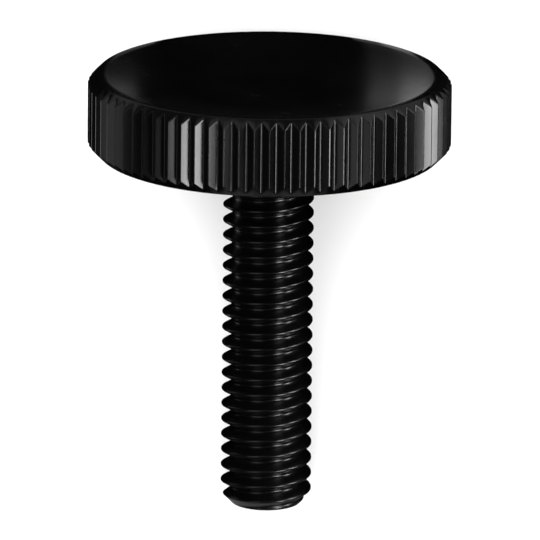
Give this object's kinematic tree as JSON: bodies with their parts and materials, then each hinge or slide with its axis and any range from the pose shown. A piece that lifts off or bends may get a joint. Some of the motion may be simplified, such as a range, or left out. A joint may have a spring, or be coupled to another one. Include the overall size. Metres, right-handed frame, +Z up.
{
  "type": "thumb screw",
  "caption": "Black flat thumb screw with a straight-knurled, dished head and an M4 right-hand thread 16 mm long, lying on its side.",
  "frame": {"origin": "middle of the bounding box at the ground, under the screw as it lies on its side", "axes": "+Z up; the screw's axis lies in the Y-Z plane with the tip towards +Y and the dished top of the head towards -Y, leaning up by about 20.5 degrees"},
  "size_m": [0.016, 0.0214, 0.0159],
  "materials": {
    "black_plastic": "black moulded polyamide with a satin gloss"
  },
  "bodies": {
    "root": {"thumb_screw": "black_plastic"}
  },
  "joints": []
}
